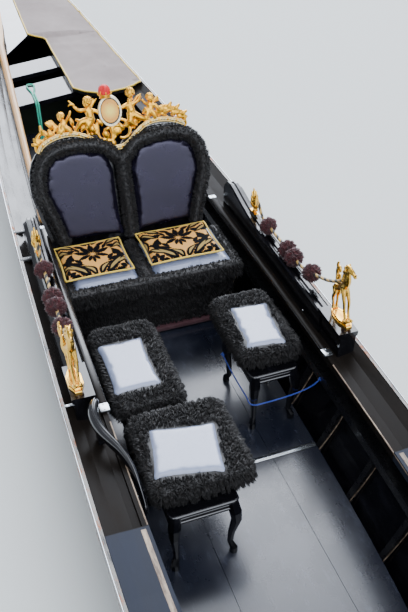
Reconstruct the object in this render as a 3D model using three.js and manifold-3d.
// A flat-bottomed passenger gondola, afloat and fitted out, as an assembly of its real pieces.
// Millimetres. +X is the bow, +Y is port, +Z is up. The origin is under the middle of the
// hull's bounding box, on the underside of the bottom planking.
import * as THREE from 'three';
import { mergeVertices } from 'three/addons/utils/BufferGeometryUtils.js';
import { RoundedBoxGeometry } from 'three/addons/geometries/RoundedBoxGeometry.js';
import Module from 'manifold-3d';

const wasm = await Module();
wasm.setup();

// Driving dimensions
const HALF_LENGTH = 5425;
const LOPSIDE = 100;            // how far the tips lie to starboard of the middle, as in the real hull
const MIDDLE_Y = 5;             // the middle's place, which centres the whole on the origin
const GAP = 0.3;                // between pieces that touch
const BOTTOM_THICK = 20;
const PLANK_THICK = 16;
const PLANK_CLEAR = 1.5;        // pieces that follow the planking stay this far off it
const RAIL_DEPTH = 45;
const RAIL_WIDTH = 20;
const DECK_DROP = 4;            // the deck's outer edge lies this far below the rail's top
const PLANK_DROP = 26;          // the planking's top edge, under the deck
const FLOOR_TOP = 110;
const FLOOR_THICK = 18;
const DECK_AFT = -2700;         // where the stern deck meets the side decks
const DECK_FORE = 2850;
const DECK_CAMBER = 0.06;       // crown of the end decks, as a share of the half breadth
const DECK_THICK = 18;
const SIDE_DECK = 185;          // from the rail's outer face to the coaming's inner face
const WING_AFT = 1890;          // the flat wing boards of the bow deck begin here
const RIB_PITCH = 320;
const RIB_WIDTH = 30;
const RIB_DEPTH = 28;
const RIB_FIRST = 1400;         // a rib stands beside the metal strip in the floor
const SEAT_Y = -40;             // middle of the double seat
const SEAT_LEAN = THREE.MathUtils.degToRad(17);

// The hull's sections. Columns: x, underside of the bottom, half width of the bottom,
// top of the rail, half breadth over the rail.
const STATIONS = [
  [-5400, 790, 12, 1285, 15],
  [-5150, 590, 36, 1185, 70],
  [-4700, 400, 100, 1050, 165],
  [-4200, 262, 180, 935, 275],
  [-3700, 175, 252, 848, 370],
  [-3200, 110, 320, 778, 445],
  [-2700, 66, 370, 722, 502],
  [-2200, 35, 408, 676, 552],
  [-1700, 14, 438, 640, 600],
  [-1200, 4, 458, 612, 640],
  [-700, 0, 466, 592, 668],
  [0, 0, 470, 580, 690],
  [1000, 0, 470, 578, 700],
  [1700, 2, 462, 580, 697],
  [2300, 12, 440, 584, 682],
  [2900, 40, 392, 606, 640],
  [3400, 84, 330, 650, 570],
  [3900, 150, 250, 720, 460],
  [4400, 250, 158, 815, 310],
  [4800, 370, 84, 910, 182],
  [5050, 500, 38, 985, 92],
  [5250, 690, 12, 1058, 16],
];
const STEP = 240;               // spacing of the polygonal sections made from the table
const PLANK_AFT = -5150;
const PLANK_FORE = 5050;

// A smooth curve through one column of the table
function column(index) {
  const xs = STATIONS.map((row) => row[0]);
  const ys = STATIONS.map((row) => row[index]);
  const slope = (i) => {
    const a = Math.max(i - 1, 0);
    const b = Math.min(i + 1, xs.length - 1);
    return (ys[b] - ys[a]) / (xs[b] - xs[a]);
  };
  return (x) => {
    let i = xs.findIndex((value) => value > x) - 1;
    if (i < 0) i = x <= xs[0] ? 0 : xs.length - 2;
    const width = xs[i + 1] - xs[i];
    const t = (x - xs[i]) / width;
    const t2 = t * t;
    const t3 = t2 * t;
    return (2 * t3 - 3 * t2 + 1) * ys[i] + (t3 - 2 * t2 + t) * width * slope(i)
      + (3 * t2 - 2 * t3) * ys[i + 1] + (t3 - t2) * width * slope(i + 1);
  };
}

const keelCurve = column(1);
const smooth = { keel: (x) => Math.max(keelCurve(x), 0), flat: column(2), sheer: column(3), beam: column(4) };

// Every piece reads the hull from the same polygonal sections, so neighbours stay parallel
const GRID = [];
for (let x = -5520; x <= 5520; x += STEP) GRID.push(x);
const clampX = (x) => Math.min(Math.max(x, STATIONS[0][0]), STATIONS.at(-1)[0]);

function hull(name, x) {
  const i = Math.min(Math.max(Math.floor((x - GRID[0]) / STEP), 0), GRID.length - 2);
  const t = (x - GRID[i]) / STEP;
  return Math.max(smooth[name](clampX(GRID[i])) * (1 - t) + smooth[name](clampX(GRID[i + 1])) * t, 0);
}

function centre(x) {
  const i = Math.min(Math.max(Math.floor((x - GRID[0]) / STEP), 0), GRID.length - 2);
  const t = (x - GRID[i]) / STEP;
  const at = (value) => MIDDLE_Y - LOPSIDE * (value / HALF_LENGTH) ** 2;
  return at(GRID[i]) * (1 - t) + at(GRID[i + 1]) * t;
}

const stationsBetween = (from, to) => [from, ...GRID.filter((x) => x > from + 1 && x < to - 1), to];

// The planking's outer face, as a half breadth at a height
const PLANK_LEVELS = [0, 1 / 3, 2 / 3, 1];
const BELLY = [0, 13, 12, 0];
function plank(x, z) {
  const low = hull('keel', x) + BOTTOM_THICK + GAP;
  const high = hull('sheer', x) - PLANK_DROP;
  const t = Math.min(Math.max((z - low) / (high - low), 0), 1);
  const i = Math.min(Math.floor(t * 3), 2);
  const f = t * 3 - i;
  const edge = hull('beam', x) - RAIL_WIDTH - 1;
  const slim = Math.min(1, hull('flat', x) / 200);
  const at = (k) => hull('flat', x) + (edge - hull('flat', x)) * PLANK_LEVELS[k] + BELLY[k] * slim;
  return at(i) * (1 - f) + at(i + 1) * f;
}
const plankHeight = (x, k) => {
  const low = hull('keel', x) + BOTTOM_THICK + GAP;
  return low + (hull('sheer', x) - PLANK_DROP - low) * PLANK_LEVELS[k];
};
const inside = (x, z) => plank(x, z) - PLANK_THICK - PLANK_CLEAR;

// A closed mesh from rings of points with the same count, first and last ring capped
function loft(rings, flatten) {
  const count = rings[0].length;
  const position = rings.flat().flatMap((p) => [p.x, p.y, p.z]);
  const index = [];
  for (let r = 0; r + 1 < rings.length; r += 1) {
    for (let j = 0; j < count; j += 1) {
      const k = (j + 1) % count;
      const a = r * count;
      const b = a + count;
      index.push(a + j, a + k, b + k, a + j, b + k, b + j);
    }
  }
  // The last cap runs round as its ring does, and the first cap the other way
  const cap = (ring, start, forward) => {
    const flat = ring.map((p) => flatten(p));
    const turn = Math.sign(THREE.ShapeUtils.area(flat));
    for (const face of THREE.ShapeUtils.triangulateShape(flat, [])) {
      const same = Math.sign(THREE.ShapeUtils.area(face.map((i) => flat[i]))) === turn;
      const ordered = same === forward ? face : [...face].reverse();
      index.push(...ordered.map((i) => start + i));
    }
  };
  cap(rings[0], 0, false);
  cap(rings.at(-1), (rings.length - 1) * count, true);
  const geometry = new THREE.BufferGeometry();
  geometry.setAttribute('position', new THREE.Float32BufferAttribute(position, 3));
  geometry.setIndex(index);
  return outward(geometry);
}

function volume(geometry) {
  const p = geometry.attributes.position;
  const index = geometry.index.array;
  const a = new THREE.Vector3();
  const b = new THREE.Vector3();
  const c = new THREE.Vector3();
  let sum = 0;
  for (let i = 0; i < index.length; i += 3) {
    a.fromBufferAttribute(p, index[i]);
    b.fromBufferAttribute(p, index[i + 1]);
    c.fromBufferAttribute(p, index[i + 2]);
    sum += a.dot(b.cross(c));
  }
  return sum;
}

function outward(geometry) {
  if (volume(geometry) < 0) {
    const index = Array.from(geometry.index.array);
    for (let i = 0; i < index.length; i += 3) [index[i], index[i + 1]] = [index[i + 1], index[i]];
    geometry.setIndex(index);
  }
  return geometry;
}

const flattenYZ = (p) => new THREE.Vector2(p.y, p.z);

// A piece that runs along the hull. ring(x) gives [half breadth, height] pairs for one side,
// and side 0 gives pairs that already cross the middle.
function along(xs, side, ring) {
  const sign = side === 0 ? 1 : side;
  const rings = xs.map((x) => ring(x).map(([h, z]) => new THREE.Vector3(x, centre(x) + sign * h, z)));
  return loft(rings, flattenYZ);
}

// Shapes joined or cut as solids
function bare(geometry) {
  const copy = geometry.clone();
  for (const name of Object.keys(copy.attributes)) {
    if (name !== 'position') copy.deleteAttribute(name);
  }
  return mergeVertices(copy, 1e-3);
}

function toSolid(geometry) {
  const merged = bare(geometry);
  const vertProperties = new Float32Array(merged.attributes.position.array);
  const triVerts = new Uint32Array(merged.index.array);
  return new wasm.Manifold(new wasm.Mesh({ numProp: 3, vertProperties, triVerts }));
}

function fromSolid(solid) {
  const { vertProperties, triVerts } = solid.getMesh();
  const geometry = new THREE.BufferGeometry();
  geometry.setAttribute('position', new THREE.BufferAttribute(vertProperties, 3));
  geometry.setIndex(new THREE.BufferAttribute(triVerts, 1));
  return geometry;
}

const joined = (parts) => fromSolid(parts.map(toSolid).reduce((sum, next) => sum.add(next)));
const cut = (base, tools) =>
  fromSolid(tools.map(toSolid).reduce((left, tool) => left.subtract(tool), toSolid(base)));

// Simple shapes, from corner to corner
function box(x0, x1, y0, y1, z0, z1) {
  const geometry = new THREE.BoxGeometry(x1 - x0, y1 - y0, z1 - z0);
  return geometry.translate((x0 + x1) / 2, (y0 + y1) / 2, (z0 + z1) / 2);
}

function pad(x0, x1, y0, y1, z0, z1, radius) {
  const geometry = new RoundedBoxGeometry(x1 - x0, y1 - y0, z1 - z0, 2, radius);
  return geometry.translate((x0 + x1) / 2, (y0 + y1) / 2, (z0 + z1) / 2);
}

// A tapering rod through a few places. Columns: x, y, z, radius across, radius in depth
function limb(rows, sides = 8) {
  const points = rows.map(([x, y, z]) => new THREE.Vector3(x, y, z));
  const across = new THREE.Vector3(0, 1, 0);
  const rings = points.map((point, i) => {
    const before = points[Math.max(i - 1, 0)];
    const after = points[Math.min(i + 1, points.length - 1)];
    const tangent = after.clone().sub(before).normalize();
    const u = across.clone().addScaledVector(tangent, -across.dot(tangent));
    if (u.length() < 0.2) u.set(0, 0, 1).addScaledVector(tangent, -tangent.z);
    u.normalize();
    const v = tangent.clone().cross(u);
    const [, , , ru, rv = ru] = rows[i];
    return Array.from({ length: sides }, (_, k) => {
      const angle = (2 * Math.PI * (k + 0.5)) / sides;
      return point.clone().addScaledVector(u, ru * Math.cos(angle)).addScaledVector(v, rv * Math.sin(angle));
    });
  });
  const count = sides;
  const position = rings.flat().flatMap((p) => [p.x, p.y, p.z]);
  const index = [];
  for (let r = 0; r + 1 < rings.length; r += 1) {
    for (let j = 0; j < count; j += 1) {
      const k = (j + 1) % count;
      const a = r * count;
      const b = a + count;
      index.push(a + j, a + k, b + k, a + j, b + k, b + j);
    }
  }
  const last = (rings.length - 1) * count;
  for (let j = 1; j + 1 < count; j += 1) index.push(0, j + 1, j, last, last + j, last + j + 1);
  const geometry = new THREE.BufferGeometry();
  geometry.setAttribute('position', new THREE.Float32BufferAttribute(position, 3));
  geometry.setIndex(index);
  return outward(geometry);
}

// An outline in the X-Z plane with a thickness in Y
function plateXZ(shape, y0, y1, curveSegments = 6) {
  const geometry = new THREE.ExtrudeGeometry(shape, { depth: y1 - y0, bevelEnabled: false, curveSegments });
  return geometry.rotateX(Math.PI / 2).translate(0, y1, 0);
}

// A rope's tube along a route of points
function tube(points, diameter, steps) {
  const path = new THREE.CatmullRomCurve3(points.map(([x, y, z]) => new THREE.Vector3(x, y, z)));
  const section = new THREE.Shape();
  const sides = 8;
  for (let k = 0; k < sides; k += 1) {
    const angle = (2 * Math.PI * k) / sides;
    const x = (diameter / 2) * Math.cos(angle);
    const y = (diameter / 2) * Math.sin(angle);
    if (k === 0) section.moveTo(x, y);
    else section.lineTo(x, y);
  }
  section.closePath();
  return new THREE.ExtrudeGeometry(section, { steps, bevelEnabled: false, extrudePath: path });
}

// Finishes
const finish = (color, roughness, metalness = 0) =>
  new THREE.MeshStandardMaterial({ color, roughness, metalness });
const LACQUER = finish(0x0b0b0d, 0.12);
const LACQUER_WORN = finish(0x17171a, 0.3);
const FLOOR_PAINT = finish(0x1b1c1f, 0.4);
const TARRED = finish(0x121214, 0.5);
const RAIL_STEEL = finish(0xb9b4ad, 0.35, 1);
const FERRO_STEEL = finish(0xc4c6c9, 0.22, 1);
const BRASS = finish(0xc9983f, 0.25, 1);
const GILT = finish(0xd8ac4e, 0.3, 0.9);
const FUR = finish(0x131313, 0.95);
const DAMASK = finish(0xb38b3d, 0.8);
const CARPET = finish(0x55514d, 0.95);
const MAROON = finish(0x3e1a1f, 0.95);
const ROPE_BLACK_GOLD = finish(0x6b5420, 0.8);
const ROPE_GREEN = finish(0x1f7f6c, 0.8);
const CORD_BLUE = finish(0x1f49b8, 0.7);
const OAR_WOOD = finish(0x8c4f22, 0.4);
const WALNUT = finish(0x4a2b18, 0.45);

const gondola = new THREE.Group();
function add(name, geometry, material) {
  const mesh = new THREE.Mesh(geometry, material);
  mesh.name = name;
  gondola.add(mesh);
  return mesh;
}
const SIDES = [['port', 1], ['starboard', -1]];

// Hull shell
function bottomRing(x) {
  const low = hull('keel', x);
  const w = hull('flat', x);
  return [[-w, low], [w, low], [w, low + BOTTOM_THICK], [-w, low + BOTTOM_THICK]];
}
// The lengths of plank meet in butt joints, at these places along the boat
const BOTTOM_BUTTS = [PLANK_AFT, -3300, -1400, 1800, PLANK_FORE];
for (const [k, name] of ['stern', 'aft', 'middle', 'bow'].entries()) {
  const [aft, fore] = BOTTOM_BUTTS.slice(k, k + 2);
  const butt = fore < PLANK_FORE ? GAP : 0;
  add(`bottom_planking_${name}`, along(stationsBetween(aft, fore - butt), 0, bottomRing), TARRED);
}

function plankRing(x) {
  const outer = PLANK_LEVELS.map((_, k) => [plank(x, plankHeight(x, k)), plankHeight(x, k)]);
  const inner = outer.map(([h, z]) => [h - PLANK_THICK, z]).reverse();
  return [...outer, ...inner];
}

function railRing(x) {
  const top = hull('sheer', x);
  const edge = hull('beam', x);
  const foot = plank(x, top - RAIL_DEPTH) + PLANK_CLEAR / 2;
  const head = edge - RAIL_WIDTH;
  return [[head, top - PLANK_DROP], [head, top], [edge, top], [edge, top - 30], [foot, top - RAIL_DEPTH]];
}

const SIDE_BUTT = -300;
const SIDE_LENGTHS = [['aft', PLANK_AFT, SIDE_BUTT], ['fore', SIDE_BUTT + GAP, PLANK_FORE]];
for (const [side, sign] of SIDES) {
  for (const [name, aft, fore] of SIDE_LENGTHS) {
    add(`side_planking_${name}_${side}`, along(stationsBetween(aft, fore), sign, plankRing), LACQUER);
  }
  add(`rub_rail_${side}`, along(stationsBetween(PLANK_AFT, PLANK_FORE), sign, railRing), RAIL_STEEL);
}

// The posts at the two ends close the planking
function postRing(x) {
  const low = hull('keel', x);
  const top = hull('sheer', x);
  const w = Math.max(hull('flat', x), 8);
  const edge = Math.max(hull('beam', x) - 2, 10);
  return [[-w, low], [w, low], [edge, top - 30], [edge, top], [-edge, top], [-edge, top - 30]];
}
const BOW_POST_TIP = 5235;
const STERN_POST_TIP = -5380;
add('bow_stem', along([PLANK_FORE + GAP, 5120, 5180, BOW_POST_TIP], 0, postRing), LACQUER);
add('stern_post', along([STERN_POST_TIP, -5300, -5220, PLANK_AFT - GAP], 0, postRing), LACQUER);

// Decks
const CAMBER_STEPS = [-1, -0.6, -0.2, 0.2, 0.6, 1];
function deckTop(x, h) {
  const w = hull('beam', x) - RAIL_WIDTH - 1;
  const crown = DECK_CAMBER * w;
  const s = Math.min(Math.abs(h) / w, 1);
  const corner = [0.2, 0.6, 1];
  const rise = corner.map((value) => crown * (1 - value * value));
  let z = rise[0];
  if (s > 0.2) {
    const i = s > 0.6 ? 1 : 0;
    const f = (s - corner[i]) / (corner[i + 1] - corner[i]);
    z = rise[i] * (1 - f) + rise[i + 1] * f;
  }
  return hull('sheer', x) - DECK_DROP + z;
}

function deckRing(x) {
  const w = hull('beam', x) - RAIL_WIDTH - 1;
  const top = CAMBER_STEPS.map((s) => [s * w, deckTop(x, s * w)]);
  const under = CAMBER_STEPS.map((s) => [s * w, deckTop(x, s * w) - DECK_THICK]).reverse();
  return [...top, ...under];
}

// The stern deck's forward edge runs across at the notch, then forward to the starboard coaming
const NOTCH = { x: -2820, y: -120, mid: -2640, tip: -2513, fore: -2490, wide: 640 };
const coamingFace = (x) => centre(x) - (hull('beam', x) - SIDE_DECK) + GAP;
const deckNotch = new THREE.Shape([
  [NOTCH.fore, -NOTCH.wide], [NOTCH.fore, NOTCH.wide], [NOTCH.x, NOTCH.wide], [NOTCH.x, NOTCH.y],
  [NOTCH.tip, coamingFace(NOTCH.tip)], [NOTCH.mid, coamingFace(NOTCH.mid)], [DECK_AFT, coamingFace(DECK_AFT)],
  [DECK_AFT, -NOTCH.wide],
].map(([x, y]) => new THREE.Vector2(x, y)));
const notchTool = new THREE.ExtrudeGeometry(deckNotch, { depth: 400, bevelEnabled: false });
notchTool.translate(0, 0, 500);
const sternDeck = along(stationsBetween(-5140, NOTCH.fore - 5), 0, deckRing);
add('stern_deck', cut(sternDeck, [notchTool]), LACQUER);

// The bow deck with its raised coaming
const COAMING_THICK = 26;
const COAMING_RISE = 58;
function coamingRing(x) {
  const w = hull('beam', x) - RAIL_WIDTH - 1;
  const places = [-0.88, -0.6, -0.2, 0.2, 0.6, 0.88];
  const low = places.map((s) => [s * w, deckTop(x, s * w) - 4]);
  const high = places.map((s) => [s * w, deckTop(x, s * w) + COAMING_RISE * (1 - 0.45 * s * s)]).reverse();
  return [...low, ...high];
}
const COAMING_X = 2890;
add('bow_deck', joined([
  along(stationsBetween(DECK_FORE, 5030), 0, deckRing),
  along([COAMING_X, COAMING_X + COAMING_THICK], 0, coamingRing),
]), LACQUER);

// Side decks: a hollowed top with a raised coaming, flat where the bow deck's wings begin.
// Columns: inboard distance from the rail's outer face, height from the rail's top
const HOLLOW = [[22, -4], [70, -24], [130, -34], [160, -34], [163, -22], [SIDE_DECK, -22]];
const LEVEL = [[22, -4], [70, -6], [130, -10], [160, -12], [163, -12], [SIDE_DECK, -12]];
const SIDE_DECK_UNDER = -60;
const LEDGE = 64;
function sideDeckRing(profile) {
  return (x) => {
    const edge = hull('beam', x);
    const top = hull('sheer', x);
    const upper = profile.map(([d, z]) => [edge - d, top + z]);
    const under = [[SIDE_DECK, SIDE_DECK_UNDER], [LEDGE, SIDE_DECK_UNDER], [LEDGE, -PLANK_DROP + GAP],
      [22, -PLANK_DROP + GAP]];
    return [...upper, ...under.map(([d, z]) => [edge - d, top + z])];
  };
}
function hollowTop(x, d) {
  const i = HOLLOW.findIndex((row, k) => k > 0 && d <= row[0]);
  const [d0, z0] = HOLLOW[i - 1];
  const [d1, z1] = HOLLOW[i];
  return hull('sheer', x) + z0 + ((z1 - z0) * (d - d0)) / (d1 - d0);
}
for (const [side, sign] of SIDES) {
  const aft = along(stationsBetween(DECK_AFT + GAP, WING_AFT), sign, sideDeckRing(HOLLOW));
  const fore = along(stationsBetween(WING_AFT - 4, DECK_FORE - GAP), sign, sideDeckRing(LEVEL));
  add(`side_deck_${side}`, joined([aft, fore]), LACQUER);
}

// Frames: ribs joined by a stringer on each side, floor timbers joined by a batten
const RIBS = Array.from({ length: 19 }, (_, k) => RIB_FIRST + RIB_PITCH * (k - 14));
const STRINGER = { low: -250, high: -200, depth: 46 };
const STRINGER_ENDS = [RIBS[0] - 60, RIBS.at(-1) + 60];
function ribRing(x) {
  const low = hull('keel', x) + BOTTOM_THICK + GAP;
  const high = hull('sheer', x) + STRINGER.high - 5;
  const levels = [0, 0.45, 1].map((t) => low + (high - low) * t);
  const outer = levels.map((z) => [inside(x, z), z]);
  const inner = levels.map((z) => [inside(x, z) - RIB_DEPTH, z]).reverse();
  return [...outer, ...inner];
}
function stringerRing(x) {
  const low = hull('sheer', x) + STRINGER.low;
  const high = hull('sheer', x) + STRINGER.high;
  return [[inside(x, low), low], [inside(x, high), high], [inside(x, low) - STRINGER.depth, high],
    [inside(x, low) - STRINGER.depth, low]];
}
for (const [side, sign] of SIDES) {
  const ribs = RIBS.map((x) => along([x - RIB_WIDTH / 2, x + RIB_WIDTH / 2], sign, ribRing));
  const stringer = along(stationsBetween(...STRINGER_ENDS), sign, stringerRing);
  add(`frames_${side}`, joined([stringer, ...ribs]), LACQUER_WORN);
}

const TIMBER_TOP = FLOOR_TOP - FLOOR_THICK - GAP;
function timberRing(x) {
  const low = hull('keel', x) + BOTTOM_THICK + GAP + 0.2;
  const w = hull('flat', x) - 60;
  return [[-w, low], [w, low], [w, TIMBER_TOP], [-w, TIMBER_TOP]];
}
function battenRing(x) {
  const low = hull('keel', x) + BOTTOM_THICK + GAP + 0.2;
  return [[-35, low], [35, low], [35, low + 24], [-35, low + 24]];
}
const TIMBERS = RIBS.filter((x) => hull('keel', x) < 36);
const timbers = TIMBERS.map((x) => along([x - RIB_WIDTH / 2, x + RIB_WIDTH / 2], 0, timberRing));
const BATTEN_ENDS = [TIMBERS[0] - 60, TIMBERS.at(-1) + 60];
add('floor_timbers', joined([along(stationsBetween(...BATTEN_ENDS), 0, battenRing), ...timbers]), TARRED);

// Floorboards: each length is one board across, with a groove at the two seams.
// Columns: name, from x, to x, grooved
const STRIP_X = 1400;
const STRIP_HALF = 8;
const SEAMS = [-213, 220];
const GROOVE = { half: 1, depth: 8 };
const FLOOR_AFT = -2380;
const FLOORS = [
  ['floor_fore', STRIP_X + STRIP_HALF, DECK_FORE - 10, true],
  ['floor_mid', -200, STRIP_X - STRIP_HALF, true],
  ['floor_aft', FLOOR_AFT, -202, false],
];
function floorEdge(x) {
  return inside(x, FLOOR_TOP - FLOOR_THICK) - RIB_DEPTH - 3;
}
for (const [name, from, to, grooved] of FLOORS) {
  const low = FLOOR_TOP - FLOOR_THICK;
  const board = along(stationsBetween(from, to), 0, (x) => {
    const edge = floorEdge(x);
    return [[-edge, low], [edge, low], [edge, FLOOR_TOP], [-edge, FLOOR_TOP]];
  });
  const grooves = SEAMS.map((y) => box(from - 5, to + 5, y - GROOVE.half, y + GROOVE.half,
    FLOOR_TOP - GROOVE.depth, FLOOR_TOP + 5));
  add(name, grooved ? cut(board, grooves) : board, FLOOR_PAINT);
}

// The rower's end. Its thwarts and the platform on them rise aft with the side decks
const PLATFORM = { aft: -2786, fore: -1740, level: 650, at: -1830, slope: 0.07, thick: 26 };
const platformHeight = (x) => PLATFORM.level + (PLATFORM.at - x) * PLATFORM.slope;
const platformRight = (x) => 12 + 0.03 * (x - PLATFORM.aft);
const platformLeft = (x) => centre(x) + hull('beam', x) - SIDE_DECK - 4;

// Thwarts between the side decks, set a little askew
const THWART_THICK = 34;
const THWART_SKEW = -0.25;      // aft shift for each unit towards port
const THWART_REACH = 700;
// Columns: name, front x at the middle, length
const THWARTS = [['thwart_1', -1869, 283], ['thwart_2', -2318, 212]];
const SIDE_WALL = { low: 500, high: 800, out: 500 };
function coamingWall(x) {
  const near = hull('beam', x) - SIDE_DECK - GAP;
  const far = near + SIDE_WALL.out;
  return [[near, SIDE_WALL.low], [far, SIDE_WALL.low], [far, SIDE_WALL.high], [near, SIDE_WALL.high]];
}
const COCKPIT = { aft: -2900, fore: -1500 };
const WALLS = SIDES.map(([, sign]) => along(stationsBetween(COCKPIT.aft, COCKPIT.fore), sign, coamingWall));
// A level board takes the platform's slope
const SLOPED = new THREE.Matrix4().set(
  1, 0, 0, 0,
  0, 1, 0, 0,
  -PLATFORM.slope, 0, 1, PLATFORM.slope * PLATFORM.at,
  0, 0, 0, 1,
);
for (const [name, front, length] of THWARTS) {
  const back = front - length;
  const corners = [[front, -THWART_REACH], [front, THWART_REACH], [back, THWART_REACH], [back, -THWART_REACH]];
  const plan = new THREE.Shape(corners.map(([x, y]) => new THREE.Vector2(x + THWART_SKEW * y, y)));
  const board = new THREE.ExtrudeGeometry(plan, { depth: THWART_THICK, bevelEnabled: false });
  board.translate(0, 0, PLATFORM.level - PLATFORM.thick - GAP - THWART_THICK).applyMatrix4(SLOPED);
  add(name, cut(board, WALLS), LACQUER);
}

// A flat strip along the boat between two sides, each a place across, from a low to a high face
function strip(xs, right, left, low, high) {
  const rings = xs.map((x) => [[right(x), low(x)], [left(x), low(x)], [left(x), high(x)], [right(x), high(x)]]
    .map(([y, z]) => new THREE.Vector3(x, y, z)));
  return loft(rings, flattenYZ);
}
// The bowed front edge of the platform and its carpet. Columns: x, y
const FRONT_EDGE = [
  [-1960, -50], [-1885, 40], [-1803, 110], [-1757, 185], [-1743, 283], [-1770, 404], [-1860, 575], [-1900, 640],
];
function frontTool(inset) {
  const edge = FRONT_EDGE.map(([x, y]) => new THREE.Vector2(x - inset, y));
  const sides = [FRONT_EDGE.at(-1)[1], FRONT_EDGE[0][1]].map((y) => new THREE.Vector2(COCKPIT.fore, y));
  const shape = new THREE.Shape([...edge, ...sides]);
  return new THREE.ExtrudeGeometry(shape, { depth: 400, bevelEnabled: false }).translate(0, 0, 500);
}
const platformTop = strip(
  stationsBetween(PLATFORM.aft, PLATFORM.fore),
  platformRight,
  platformLeft,
  (x) => platformHeight(x) - PLATFORM.thick,
  platformHeight,
);
add('rowing_platform', cut(platformTop, [frontTool(8)]), LACQUER_WORN);

// The carpet lies on the platform, out to the port rail, and runs on over the port half of the stern deck
const CARPET_THICK = 7;
const CARPET_AFT = -3840;
const CARPET_INSET = 26;        // from the rail's outer face
function carpetDeckRing(x) {
  const w = hull('beam', x) - RAIL_WIDTH - 1;
  const places = [-0.2 * w, 0.2 * w, 0.6 * w, w + RAIL_WIDTH + 1 - CARPET_INSET];
  const low = places.map((h) => [h, deckTop(x, h) + 2.4]);
  const high = places.map((h) => [h, deckTop(x, h) + CARPET_THICK]).reverse();
  return [...low, ...high].map(([h, z]) => new THREE.Vector3(x, centre(x) + h, z));
}
function carpetPlatformRing(x) {
  const right = platformRight(x) + 4;
  const left = platformLeft(x);
  const rail = centre(x) + hull('beam', x) - CARPET_INSET;
  const flat = platformHeight(x);
  const places = [[right, flat], [(right + left) / 2, flat], [left, flat], [rail, hollowTop(x, CARPET_INSET)]];
  const low = places.map(([y, z]) => [y, z + GAP]);
  const high = places.map(([y, z]) => [y, z + CARPET_THICK]).reverse();
  return [...low, ...high].map(([y, z]) => new THREE.Vector3(x, y, z));
}
const carpet = loft([
  ...stationsBetween(CARPET_AFT, NOTCH.x - 2).map(carpetDeckRing),
  ...stationsBetween(PLATFORM.aft, PLATFORM.fore).map(carpetPlatformRing),
], flattenYZ);
add('stern_carpet', cut(carpet, [frontTool(0)]), CARPET);

// Metalwork at the two ends
const IRON_THICK = 12;
const BOW_Y = centre(5200);
function bowIron() {
  const shape = new THREE.Shape();
  const toothTop = 1370;
  const toothPitch = 62;
  const toothHeight = 44;
  const toothTip = HALF_LENGTH;
  const toothRoot = 5312;
  shape.moveTo(5140, 520);
  shape.quadraticCurveTo(5262, 640, 5290, 800);
  shape.lineTo(5300, toothTop - 6 * toothPitch);
  for (let k = 5; k >= 0; k -= 1) {
    const low = toothTop - (k + 1) * toothPitch + (toothPitch - toothHeight);
    const high = low + toothHeight;
    shape.lineTo(toothRoot, low);
    shape.lineTo(toothTip, low + 8);
    shape.lineTo(toothTip, high);
    shape.lineTo(toothRoot, high);
  }
  shape.quadraticCurveTo(5340, 1400, 5404, 1418);
  shape.quadraticCurveTo(5425, 1440, 5410, 1480);
  shape.quadraticCurveTo(5370, 1600, 5230, 1640);
  shape.quadraticCurveTo(5185, 1640, 5192, 1600);
  shape.quadraticCurveTo(5260, 1500, 5240, 1300);
  shape.lineTo(5150, 1290);
  shape.lineTo(5150, 1246);
  shape.lineTo(5240, 1240);
  shape.lineTo(5244, 1075);
  shape.quadraticCurveTo(5244, 860, 5236, 800);
  shape.quadraticCurveTo(5210, 700, 5100, 570);
  shape.closePath();
  return plateXZ(shape, BOW_Y - IRON_THICK / 2, BOW_Y + IRON_THICK / 2, 5);
}
const STERN_Y = centre(-5390);
function sternIron() {
  const shape = new THREE.Shape();
  shape.moveTo(-5180, 555);
  shape.quadraticCurveTo(-5385, 640, -5412, 820);
  shape.lineTo(-HALF_LENGTH, 1340);
  shape.quadraticCurveTo(-5420, 1400, -5360, 1400);
  shape.quadraticCurveTo(-5300, 1395, -5310, 1345);
  shape.quadraticCurveTo(-5345, 1372, -5372, 1340);
  shape.lineTo(-5392, 1290);
  shape.lineTo(-5366, 1262);
  shape.lineTo(-5366, 840);
  shape.lineTo(-5150, 650);
  shape.closePath();
  return plateXZ(shape, STERN_Y - IRON_THICK / 2, STERN_Y + IRON_THICK / 2, 5);
}
// The irons lap the posts, so they are cut by a post that is a gap larger all round
function postTool(xs) {
  const spread = (x) => postRing(x).map(([h, z], i) => [h + Math.sign(h) * GAP, z + (i > 2 && i < 5 ? GAP : -GAP)]);
  return along(xs, 0, spread);
}
const bowTool = postTool([PLANK_FORE - 60, PLANK_FORE + GAP, 5120, 5180, BOW_POST_TIP, BOW_POST_TIP + GAP]);
const sternTool = postTool([STERN_POST_TIP - GAP, STERN_POST_TIP, -5300, -5220, PLANK_AFT - GAP, PLANK_AFT + 60]);
add('bow_iron', cut(bowIron(), [bowTool]), FERRO_STEEL);
add('stern_iron', cut(sternIron(), [sternTool]), FERRO_STEEL);

// The oarlock, a carved walnut crutch on the starboard rail, and the oar that lies beside it
const OARLOCK_X = -2430;
const OARLOCK_Y = centre(OARLOCK_X) - hull('beam', OARLOCK_X) + 95;
const OARLOCK_FOOT = { half: 60, width: 24 };
const OARLOCK_Z = hollowTop(OARLOCK_X - OARLOCK_FOOT.half, 95 - OARLOCK_FOOT.width) + 1.8;
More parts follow.
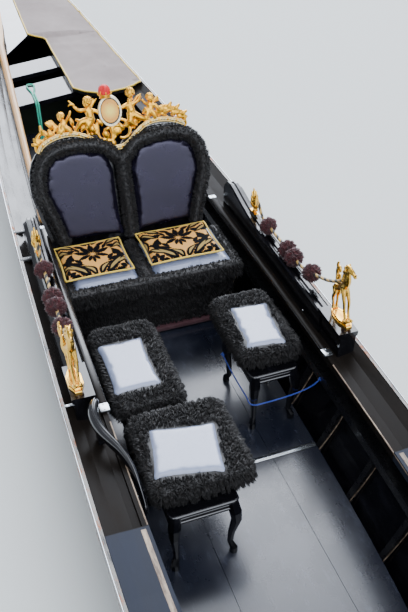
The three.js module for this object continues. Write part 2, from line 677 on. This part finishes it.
// Columns: along x, across, up, half width, half depth
const OARLOCK_TRUNK = [
  [0, 0, 14, 34, 46], [4, 0, 70, 30, 42], [22, -4, 150, 26, 36], [46, -6, 240, 26, 40], [52, -4, 320, 24, 44],
  [34, 0, 390, 22, 40], [12, 4, 450, 20, 34], [2, 6, 500, 14, 22], [6, 8, 530, 6, 10],
];
const OARLOCK_ELBOW = [
  [40, -6, 250, 22, 26], [92, -12, 268, 20, 24], [138, -18, 300, 17, 22],
  [160, -20, 346, 13, 18], [156, -18, 384, 8, 10],
];
const place = (rows, x, y, z, sign = 1) => rows.map(([a, b, c, ...r]) => [x + a, y + sign * b, z + c, ...r]);
const oarlockFoot = box(OARLOCK_X - OARLOCK_FOOT.half, OARLOCK_X + OARLOCK_FOOT.half,
  OARLOCK_Y - OARLOCK_FOOT.width, OARLOCK_Y + OARLOCK_FOOT.width, OARLOCK_Z, OARLOCK_Z + 28);
add('oarlock', joined([
  oarlockFoot,
  limb(place(OARLOCK_TRUNK, OARLOCK_X, OARLOCK_Y, OARLOCK_Z + 8), 10),
  limb(place(OARLOCK_ELBOW, OARLOCK_X, OARLOCK_Y, OARLOCK_Z + 8), 8),
]), WALNUT);

// The oar rests on the coaming at its handle and on the stern deck at the tip of its blade
const OAR = { headX: -260, headY: -497, tailX: -4060, tailY: -285, grip: 21, blade: 8 };
function oar() {
  const coamingTop = hull('sheer', OAR.headX) - 22;
  const deck = deckTop(OAR.tailX, OAR.tailY - centre(OAR.tailX));
  const head = new THREE.Vector3(OAR.headX, OAR.headY, coamingTop + OAR.grip + 0.6);
  const tail = new THREE.Vector3(OAR.tailX, OAR.tailY, deck + OAR.blade + 1.8);
  // Columns: share of the length, half width in plan, half depth
  const rows = [[0, 15, 15], [0.005, 21, 21], [0.04, 19, 19], [0.35, 24, 24], [0.6, 27, 25], [0.66, 46, 20],
    [0.75, 66, 13], [0.97, 74, 8], [1, 60, 8]];
  return limb(rows.map(([t, a, b]) => {
    const point = head.clone().lerp(tail, t);
    return [point.x, point.y, point.z, a, b];
  }), 10);
}
add('oar', oar(), OAR_WOOD);

// The double seat
const BENCH = { back: -100, front: 270, right: -460, left: 440, top: 400, board: 20 };
const CUSHION = { back: -46, front: 400, right: -496, left: 470, top: 520 };
add('bench_base', joined([
  box(BENCH.front - BENCH.board, BENCH.front, BENCH.right, BENCH.left, FLOOR_TOP + GAP, BENCH.top),
  box(BENCH.back, BENCH.front, BENCH.right, BENCH.right + BENCH.board, FLOOR_TOP + GAP, BENCH.top),
  box(BENCH.back, BENCH.front, BENCH.left - BENCH.board, BENCH.left, FLOOR_TOP + GAP, BENCH.top),
  box(BENCH.back, BENCH.front, BENCH.right, BENCH.left, BENCH.top - BENCH.board, BENCH.top),
]), LACQUER);
add('bench_cushion', joined([
  pad(CUSHION.back, CUSHION.front, CUSHION.right, CUSHION.left, BENCH.top + GAP, CUSHION.top, 34),
  pad(BENCH.front + GAP, BENCH.front + 75, CUSHION.right + 30, CUSHION.left - 30, FLOOR_TOP + 30, BENCH.top + 60, 20),
]), FUR);
// Columns: name, from y, to y
const DAMASK_CUSHIONS = [['damask_cushion_port', -26, 389], ['damask_cushion_starboard', -488, -118]];
for (const [name, right, left] of DAMASK_CUSHIONS) {
  add(name, pad(-20, 300, right, left, CUSHION.top + GAP, CUSHION.top + 42, 16), DAMASK);
}

// The back's outline: two lobes over a waist, across u and up s, from the seat's own middle
const LOBE = { waist: 420, shoulder: 506, shoulderHeight: 300, top: 585, middle: 250, valley: 470 };
function lobeCurve(target, sign) {
  const steps = [
    [-sign * LOBE.shoulder * 1.02, 500, -sign * 430, LOBE.top, -sign * LOBE.middle, LOBE.top],
    [-sign * 120, LOBE.top, -sign * 25, 555, 0, LOBE.valley],
  ];
  for (const row of steps) target.bezierCurveTo(...row);
}
function backOutline(foot) {
  const shape = new THREE.Shape();
  shape.moveTo(-LOBE.waist, foot);
  shape.lineTo(-LOBE.shoulder, LOBE.shoulderHeight);
  lobeCurve(shape, 1);
  shape.bezierCurveTo(25, 555, 120, LOBE.top, LOBE.middle, LOBE.top);
  shape.bezierCurveTo(430, LOBE.top, LOBE.shoulder * 1.02, 500, LOBE.shoulder, LOBE.shoulderHeight);
  shape.lineTo(LOBE.waist, foot);
  shape.closePath();
  return shape;
}
const BACK_ORIGIN = new THREE.Vector3(-20, SEAT_Y, 530);
function leaning(shape, from, to, curveSegments = 8) {
  const geometry = new THREE.ExtrudeGeometry(shape, { depth: to - from, bevelEnabled: false, curveSegments });
  geometry.translate(0, 0, from);
  geometry.rotateX(Math.PI / 2).rotateZ(Math.PI / 2);
  return geometry;
}
function lean(mesh) {
  mesh.rotation.y = -SEAT_LEAN;
  mesh.position.copy(BACK_ORIGIN);
}
const BOARD_FACE = -66;
const BOARD_FOOT = -109;        // the board stands on the bench, and the pads end above its cushion
const PADS_FOOT = 12;
lean(add('seat_back', leaning(backOutline(BOARD_FOOT), BOARD_FACE - 20, BOARD_FACE), LACQUER));
lean(add('seat_back_pads', leaning(backOutline(PADS_FOOT), BOARD_FACE + GAP, 0), FUR));

// The gilded crest follows the lobes. Its outer edge, in u and s, is a hand of scallops
const CREST_EDGE = [
  [400, 560], [385, 600], [330, 640], [285, 632], [245, 668], [190, 660], [150, 690], [105, 690], [70, 720],
  [62, 790], [30, 826], [14, 880], [-14, 880], [-32, 826], [-66, 790], [-74, 720], [-110, 700], [-150, 690],
  [-195, 650], [-245, 680], [-300, 660], [-330, 640], [-385, 630], [-440, 560], [-478, 520], [-492, 450],
];
function crest() {
  const upper = new THREE.Path();
  upper.moveTo(-LOBE.shoulder, LOBE.shoulderHeight);
  lobeCurve(upper, 1);
  upper.bezierCurveTo(25, 555, 120, LOBE.top, LOBE.middle, LOBE.top);
  upper.bezierCurveTo(430, LOBE.top, LOBE.shoulder * 1.02, 500, LOBE.shoulder, LOBE.shoulderHeight);
  const lobes = upper.getPoints(12).filter((p) => p.y > 440 && p.x > -500 && p.x < 380);
  const inner = lobes.map((p) => new THREE.Vector2(p.x * (Math.abs(p.x) > 420 ? 1.006 : 1), p.y + 2.5));
  const outer = CREST_EDGE.map(([u, s]) => new THREE.Vector2(u, s));
  return new THREE.Shape([...inner, ...outer]);
}
lean(add('crest', leaning(crest(), BOARD_FACE - 18, BOARD_FACE + 22), GILT));

// Arm boards on the side decks: two ridges on top, a round rise at the aft end, a block at the front
const ARM = { aft: -132, fore: 1290, top: 665, rise: 92, fade: 500 };
function armTop(x) {
  const t = Math.min(Math.max((x - ARM.aft) / ARM.fade, 0), 1);
  const swell = ARM.rise * (1 - t) * (1 - t) * (1 + 0.9 * t);
  const end = Math.min((x - ARM.aft) / 95, 1);
  const round = 95 * (1 - Math.sqrt(Math.max(1 - (1 - end) ** 2, 0)));
  return ARM.top + swell - round;
}
// Columns: inboard distance, height from the arm's top
const ARM_PROFILE = [
  [140, -9], [134, 0], [122, 0], [116, -14], [108, -14], [102, -4], [86, -4], [79, -22], [60, -38],
];
const ARM_FEET = [60, 70, 130, 140];
function armRing(x) {
  const edge = hull('beam', x);
  const upper = ARM_PROFILE.map(([d, z]) => [edge - d, armTop(x) + z]);
  const under = ARM_FEET.map((d) => [edge - d, hollowTop(x, d) + GAP]);
  return [...upper, ...under];
}
const ARM_STEPS = [0, 4, 14, 30, 52, 80, 120, 180, 250, 330, 420, 520];
const ARM_ROWS = [...ARM_STEPS.map((x) => ARM.aft + x), ARM.fore - 100];
const BLOCK = { aft: 1080, fore: 1290, near: 142, far: 44, top: 680 };
function blockRing(x) {
  const edge = hull('beam', x);
  const cap = BLOCK.top - 22;
  const [near, far] = [edge - BLOCK.near, edge - BLOCK.far];
  return [[near, cap], [near, BLOCK.top], [far, BLOCK.top], [far, cap],
    [far - 9, cap - 8], [far - 9, hollowTop(x, BLOCK.far + 9) + GAP],
    [edge - 70, hollowTop(x, 70) + GAP], [edge - 130, hollowTop(x, 130) + GAP],
    [near + 9, hollowTop(x, BLOCK.near - 9) + GAP], [near + 9, cap - 8]];
}
for (const [side, sign] of SIDES) {
  const further = stationsBetween(ARM.aft + 521, BLOCK.aft + 20).slice(1);
  const rows = [...ARM_ROWS.filter((x) => x < ARM.fore - 110), ...further];
  const board = along(rows, sign, armRing);
  const block = along([BLOCK.aft, BLOCK.fore], sign, blockRing);
  add(`arm_board_${side}`, joined([board, block]), LACQUER);
}

// The scrolled bracket in front of the starboard block
const SCROLL = [
  [1312, -566, 664, 9, 17], [1352, -588, 662, 9, 18], [1396, -595, 650, 9, 20], [1446, -580, 630, 9, 24],
  [1496, -552, 612, 10, 28], [1546, -522, 592.5, 10, 28], [1610, -497, 558.5, 10, 26], [1690, -486, 500, 10, 22],
  [1740, -482, 450, 8, 14],
];
const scrollFoot = box(1400, 1452, -592, -566, hollowTop(1452, 110) + 11.3, 640);
add('arm_scroll_starboard', joined([limb(SCROLL, 8), scrollFoot]), LACQUER);

// Brass sea-horses on the blocks. Columns: along, across, up, half width, half depth
const HORSE_X = 1205;
const HORSE_Y = 618;
const HORSE_PLATE = { x: 1213, length: 72, width: 34, thick: 12 };
const HORSE_BODY = [
  [70, 0, 20, 12, 12], [44, 4, 16, 20, 14], [10, 0, 22, 24, 18], [-16, 0, 44, 24, 22], [-22, 0, 84, 23, 24],
  [-12, 0, 128, 24, 27], [4, 0, 168, 24, 30], [12, 0, 206, 20, 27], [6, 0, 240, 16, 22], [0, 0, 262, 14, 20],
  [16, 0, 276, 13, 17], [40, 0, 264, 10, 12], [58, 0, 250, 8, 9],
];
const HORSE_LEGS = [
  [[6, 10, 150, 10, 10], [40, 18, 158, 9, 9], [62, 20, 186, 8, 8], [84, 20, 172, 6, 7]],
  [[6, -10, 158, 10, 10], [44, -18, 176, 9, 9], [60, -20, 210, 8, 8], [84, -20, 204, 6, 7]],
];
const HORSE_FINS = [
  [[-20, 0, 60, 5, 10], [-52, 0, 92, 4, 16], [-66, 0, 140, 3, 10]],
  [[-14, 0, 170, 4, 12], [-34, 0, 214, 4, 14], [-26, 0, 262, 3, 8]],
];
function horse(sign) {
  const z = BLOCK.top + GAP;
  const y = sign * HORSE_Y + centre(HORSE_X);
  const plate = new THREE.CylinderGeometry(1, 1, HORSE_PLATE.thick, 16).rotateX(Math.PI / 2);
  plate.scale(HORSE_PLATE.length, HORSE_PLATE.width, 1).translate(HORSE_PLATE.x, y, z + HORSE_PLATE.thick / 2);
  const at = (rows) => limb(place(rows, HORSE_X, y, z, sign), 8);
  return joined([plate, at(HORSE_BODY), ...HORSE_LEGS.map(at), ...HORSE_FINS.map(at)]);
}

// Brass leaf posts behind the first tassel
const POST_X = 205;
const POST_ROWS = [
  [0, 0, 4, 12, 12], [-2, 0, 30, 8, 8], [-4, 0, 52, 14, 18], [-8, 0, 90, 11, 22], [-16, 0, 122, 6, 12],
  [-24, 0, 142, 3, 4],
];
const POST_ARM = [[0, 0, 46, 8, 8], [20, 0, 40, 8, 8], [34, 0, 36, 7, 7]];
const ridgeY = (x, sign) => centre(x) + sign * (hull('beam', x) - 94);
function ropePost(sign) {
  const z = armTop(POST_X - 40) - 4 + 2 * GAP;
  const y = ridgeY(POST_X, sign);
  const plate = box(POST_X - 40, POST_X + 30, y - 7, y + 7, z, z + 6);
  return joined([plate, limb(place(POST_ROWS, POST_X, y, z), 8), limb(place(POST_ARM, POST_X, y, z), 8)]);
}
for (const [side, sign] of SIDES) {
  add(`horse_${side}`, horse(sign), BRASS);
}

// Ropes with tassels, from the posts to the horses
const TASSEL_RADIUS = 47;
const ROPE_THICK = 16;
const TASSEL_HOLE = ROPE_THICK / 2 + 1.2;
const TASSEL_ROW_Z = armTop(700) - 4 + TASSEL_RADIUS + 0.6;
// Columns: x, inboard distance from the rail, height from the straight stretch
const ROPE_ROWS = [
  [246, 94, 66], [268, 94, 44], [290, 94, 20], [316, 94, 4], [336, 94, 0], [388, 94, 0], [500, 94, 0], [580, 94, 0],
  [663, 94, 0], [750, 94, 0], [780, 93, 1], [805, 91, 4], [830, 90, 11], [850, 90, 18], [890, 90, 32], [930, 90, 46],
  [950, 90, 53], [980, 87, 64], [1030, 84, 84], [1080, 82, 112], [1122, 81, 142], [1160, 81, 172],
];
// Columns: name, x of the middle of each ball in it, height, rise for each unit along x
const TASSELS = [['pompoms_aft', [388], 0, 0], ['pompoms_middle', [626, 700], 0, 0], ['pompom_fore', [890], 32, 0.35]];
function tasselProfile(count, pitch) {
  const points = [];
  const length = pitch * (count - 1);
  const half = Math.sqrt(TASSEL_RADIUS ** 2 - TASSEL_HOLE ** 2);
  for (let b = 0; b < count; b += 1) {
    const mid = b * pitch - length / 2;
    for (let k = 0; k <= 8; k += 1) {
      const along = mid - half + (2 * half * k) / 8;
      const radius = Math.sqrt(Math.max(TASSEL_RADIUS ** 2 - (along - mid) ** 2, 0));
      const hidden = count > 1 && ((b === 0 && along > 0) || (b === 1 && along < 0));
      if (!hidden) points.push(new THREE.Vector2(Math.max(radius, TASSEL_HOLE + 2), along));
    }
  }
  points.unshift(new THREE.Vector2(TASSEL_HOLE, points[0].y));
  points.push(new THREE.Vector2(TASSEL_HOLE, points.at(-1).y));
  points.push(points[0].clone());
  return points;
}
function tassel(xs, rise, slope, sign) {
  const pitch = xs.length > 1 ? xs[1] - xs[0] : 0;
  const geometry = new THREE.LatheGeometry(tasselProfile(xs.length, pitch), 12).rotateZ(-Math.PI / 2);
  geometry.rotateY(-Math.atan(slope));
  const x = (xs[0] + xs.at(-1)) / 2;
  const d = slope > 0 ? 90 : 94;
  return geometry.translate(x, centre(x) + sign * (hull('beam', x) - d), TASSEL_ROW_Z + rise);
}
for (const [side, sign] of SIDES) {
  const route = ROPE_ROWS.map(([x, d, rise]) => [x, centre(x) + sign * (hull('beam', x) - d), TASSEL_ROW_Z + rise]);
  add(`rope_post_${side}`, ropePost(sign), BRASS);
  add(`tassel_rope_${side}`, tube(route, ROPE_THICK, 48), ROPE_BLACK_GOLD);
  for (const [name, xs, rise, slope] of TASSELS) {
    add(`${name}_${side}`, outward(bare(tassel(xs, rise, slope, sign))), MAROON);
  }
}

// Three stools. Columns: name, pad from x, to x, from y, to y, feet from x, to x, from y, to y
const STOOL_TOP = 560;
const PAD_UNDER = 446;
const RAIL_UNDER = 396;
const STOOLS = [
  ['stool_starboard_fore', 1305, 1770, -463, -20, 1450, 1815, -400, -134],
  ['stool_starboard_aft', 700, 1288, -483, -150, 790, 1300, -430, -215],
  ['stool_port', 658, 1152, 153, 471, 831, 1199, 199, 415],
];
for (const [name, x0, x1, y0, y1, fx0, fx1, fy0, fy1] of STOOLS) {
  const legs = [];
  const mx = (fx0 + fx1) / 2;
  const my = (fy0 + fy1) / 2;
  for (const x of [fx0, fx1]) {
    for (const y of [fy0, fy1]) {
      const ox = Math.sign(x - mx);
      const oy = Math.sign(y - my);
      // Columns: outward shift, height, radius: a cabriole leg with a knee, an ankle and a foot
      const rows = [
        [-26, RAIL_UNDER + 40, 24], [-8, RAIL_UNDER - 20, 26], [-2, 330, 22], [-20, 230, 15],
        [-24, 160, 13], [-8, 134, 17], [-8, FLOOR_TOP + GAP, 18],
      ];
      legs.push(limb(rows.map(([shift, z, r]) => [x + ox * shift, y + oy * shift * 0.6, z, r]), 8));
    }
  }
  const inset = 12;
  const frame = box(fx0 - inset, fx1 - 14, fy0 - 4, fy1 + 4, RAIL_UNDER, PAD_UNDER - GAP);
  const hollow = box(fx0 + 24, fx1 - 50, fy0 + 30, fy1 - 30, RAIL_UNDER - 5, PAD_UNDER - 16);
  add(`${name}_frame`, joined([cut(frame, [hollow]), ...legs]), LACQUER);
  add(`${name}_pad`, pad(x0, x1, y0, y1, PAD_UNDER, STOOL_TOP, 40), FUR);
}

// Loose lines: a mooring rope over the first thwart, and a thin lanyard at the port stool
const GREEN_THICK = 13;
const GREEN_ROUTE = [
  [-1240, -110, 117.6], [-1300, -140, 117.6], [-1400, -180, 117.6], [-1500, -220, 117.6], [-1590, -245, 122],
  [-1655, -252, 150], [-1712, -254, 240], [-1742, -254, 360], [-1757, -254, 470], [-1767, -254, 572],
  [-1775, -254, 616], [-1795, -254, 633], [-1821, -254, 633.5], [-1880, -254, 635], [-1950, -256, 639.7],
  [-2010, -268, 644], [-2050, -273, 646.7], [-2069, -265, 648.1], [-2077, -246, 648.6], [-2069, -227, 648.1],
  [-2050, -219, 646.7], [-2010, -224, 644], [-1950, -236, 639.7], [-1880, -238.5, 635], [-1821, -238.5, 633.5],
  [-1795, -238.5, 633], [-1775, -238.5, 616], [-1767, -238.5, 572], [-1757, -238.5, 470], [-1742, -238.5, 360],
  [-1712, -238.5, 240], [-1655, -240, 150], [-1600, -225, 122], [-1530, -170, 117.6], [-1470, -100, 117.6],
  [-1420, -20, 117.6], [-1380, 60, 117.6],
];
add('mooring_rope', tube(GREEN_ROUTE, GREEN_THICK, 80), ROPE_GREEN);

const LANYARD_THICK = 7;
const LANYARD_ROUTE = [
  [838, 181.5, 296], [900, 181.5, 288], [960, 181.5, 284], [1020, 181.5, 283], [1100, 181.5, 286], [1165, 181, 291],
  [1192, 178, 292], [1211, 183, 293], [1222, 200, 294], [1223, 230, 293], [1221, 290, 291], [1219, 350, 292],
  [1218, 410, 297], [1217, 460, 306], [1216, 500, 320], [1215, 524, 336], [1215, 537, 349],
];
add('stool_lanyard', tube(LANYARD_ROUTE, LANYARD_THICK, 44), CORD_BLUE);

export default gondola;
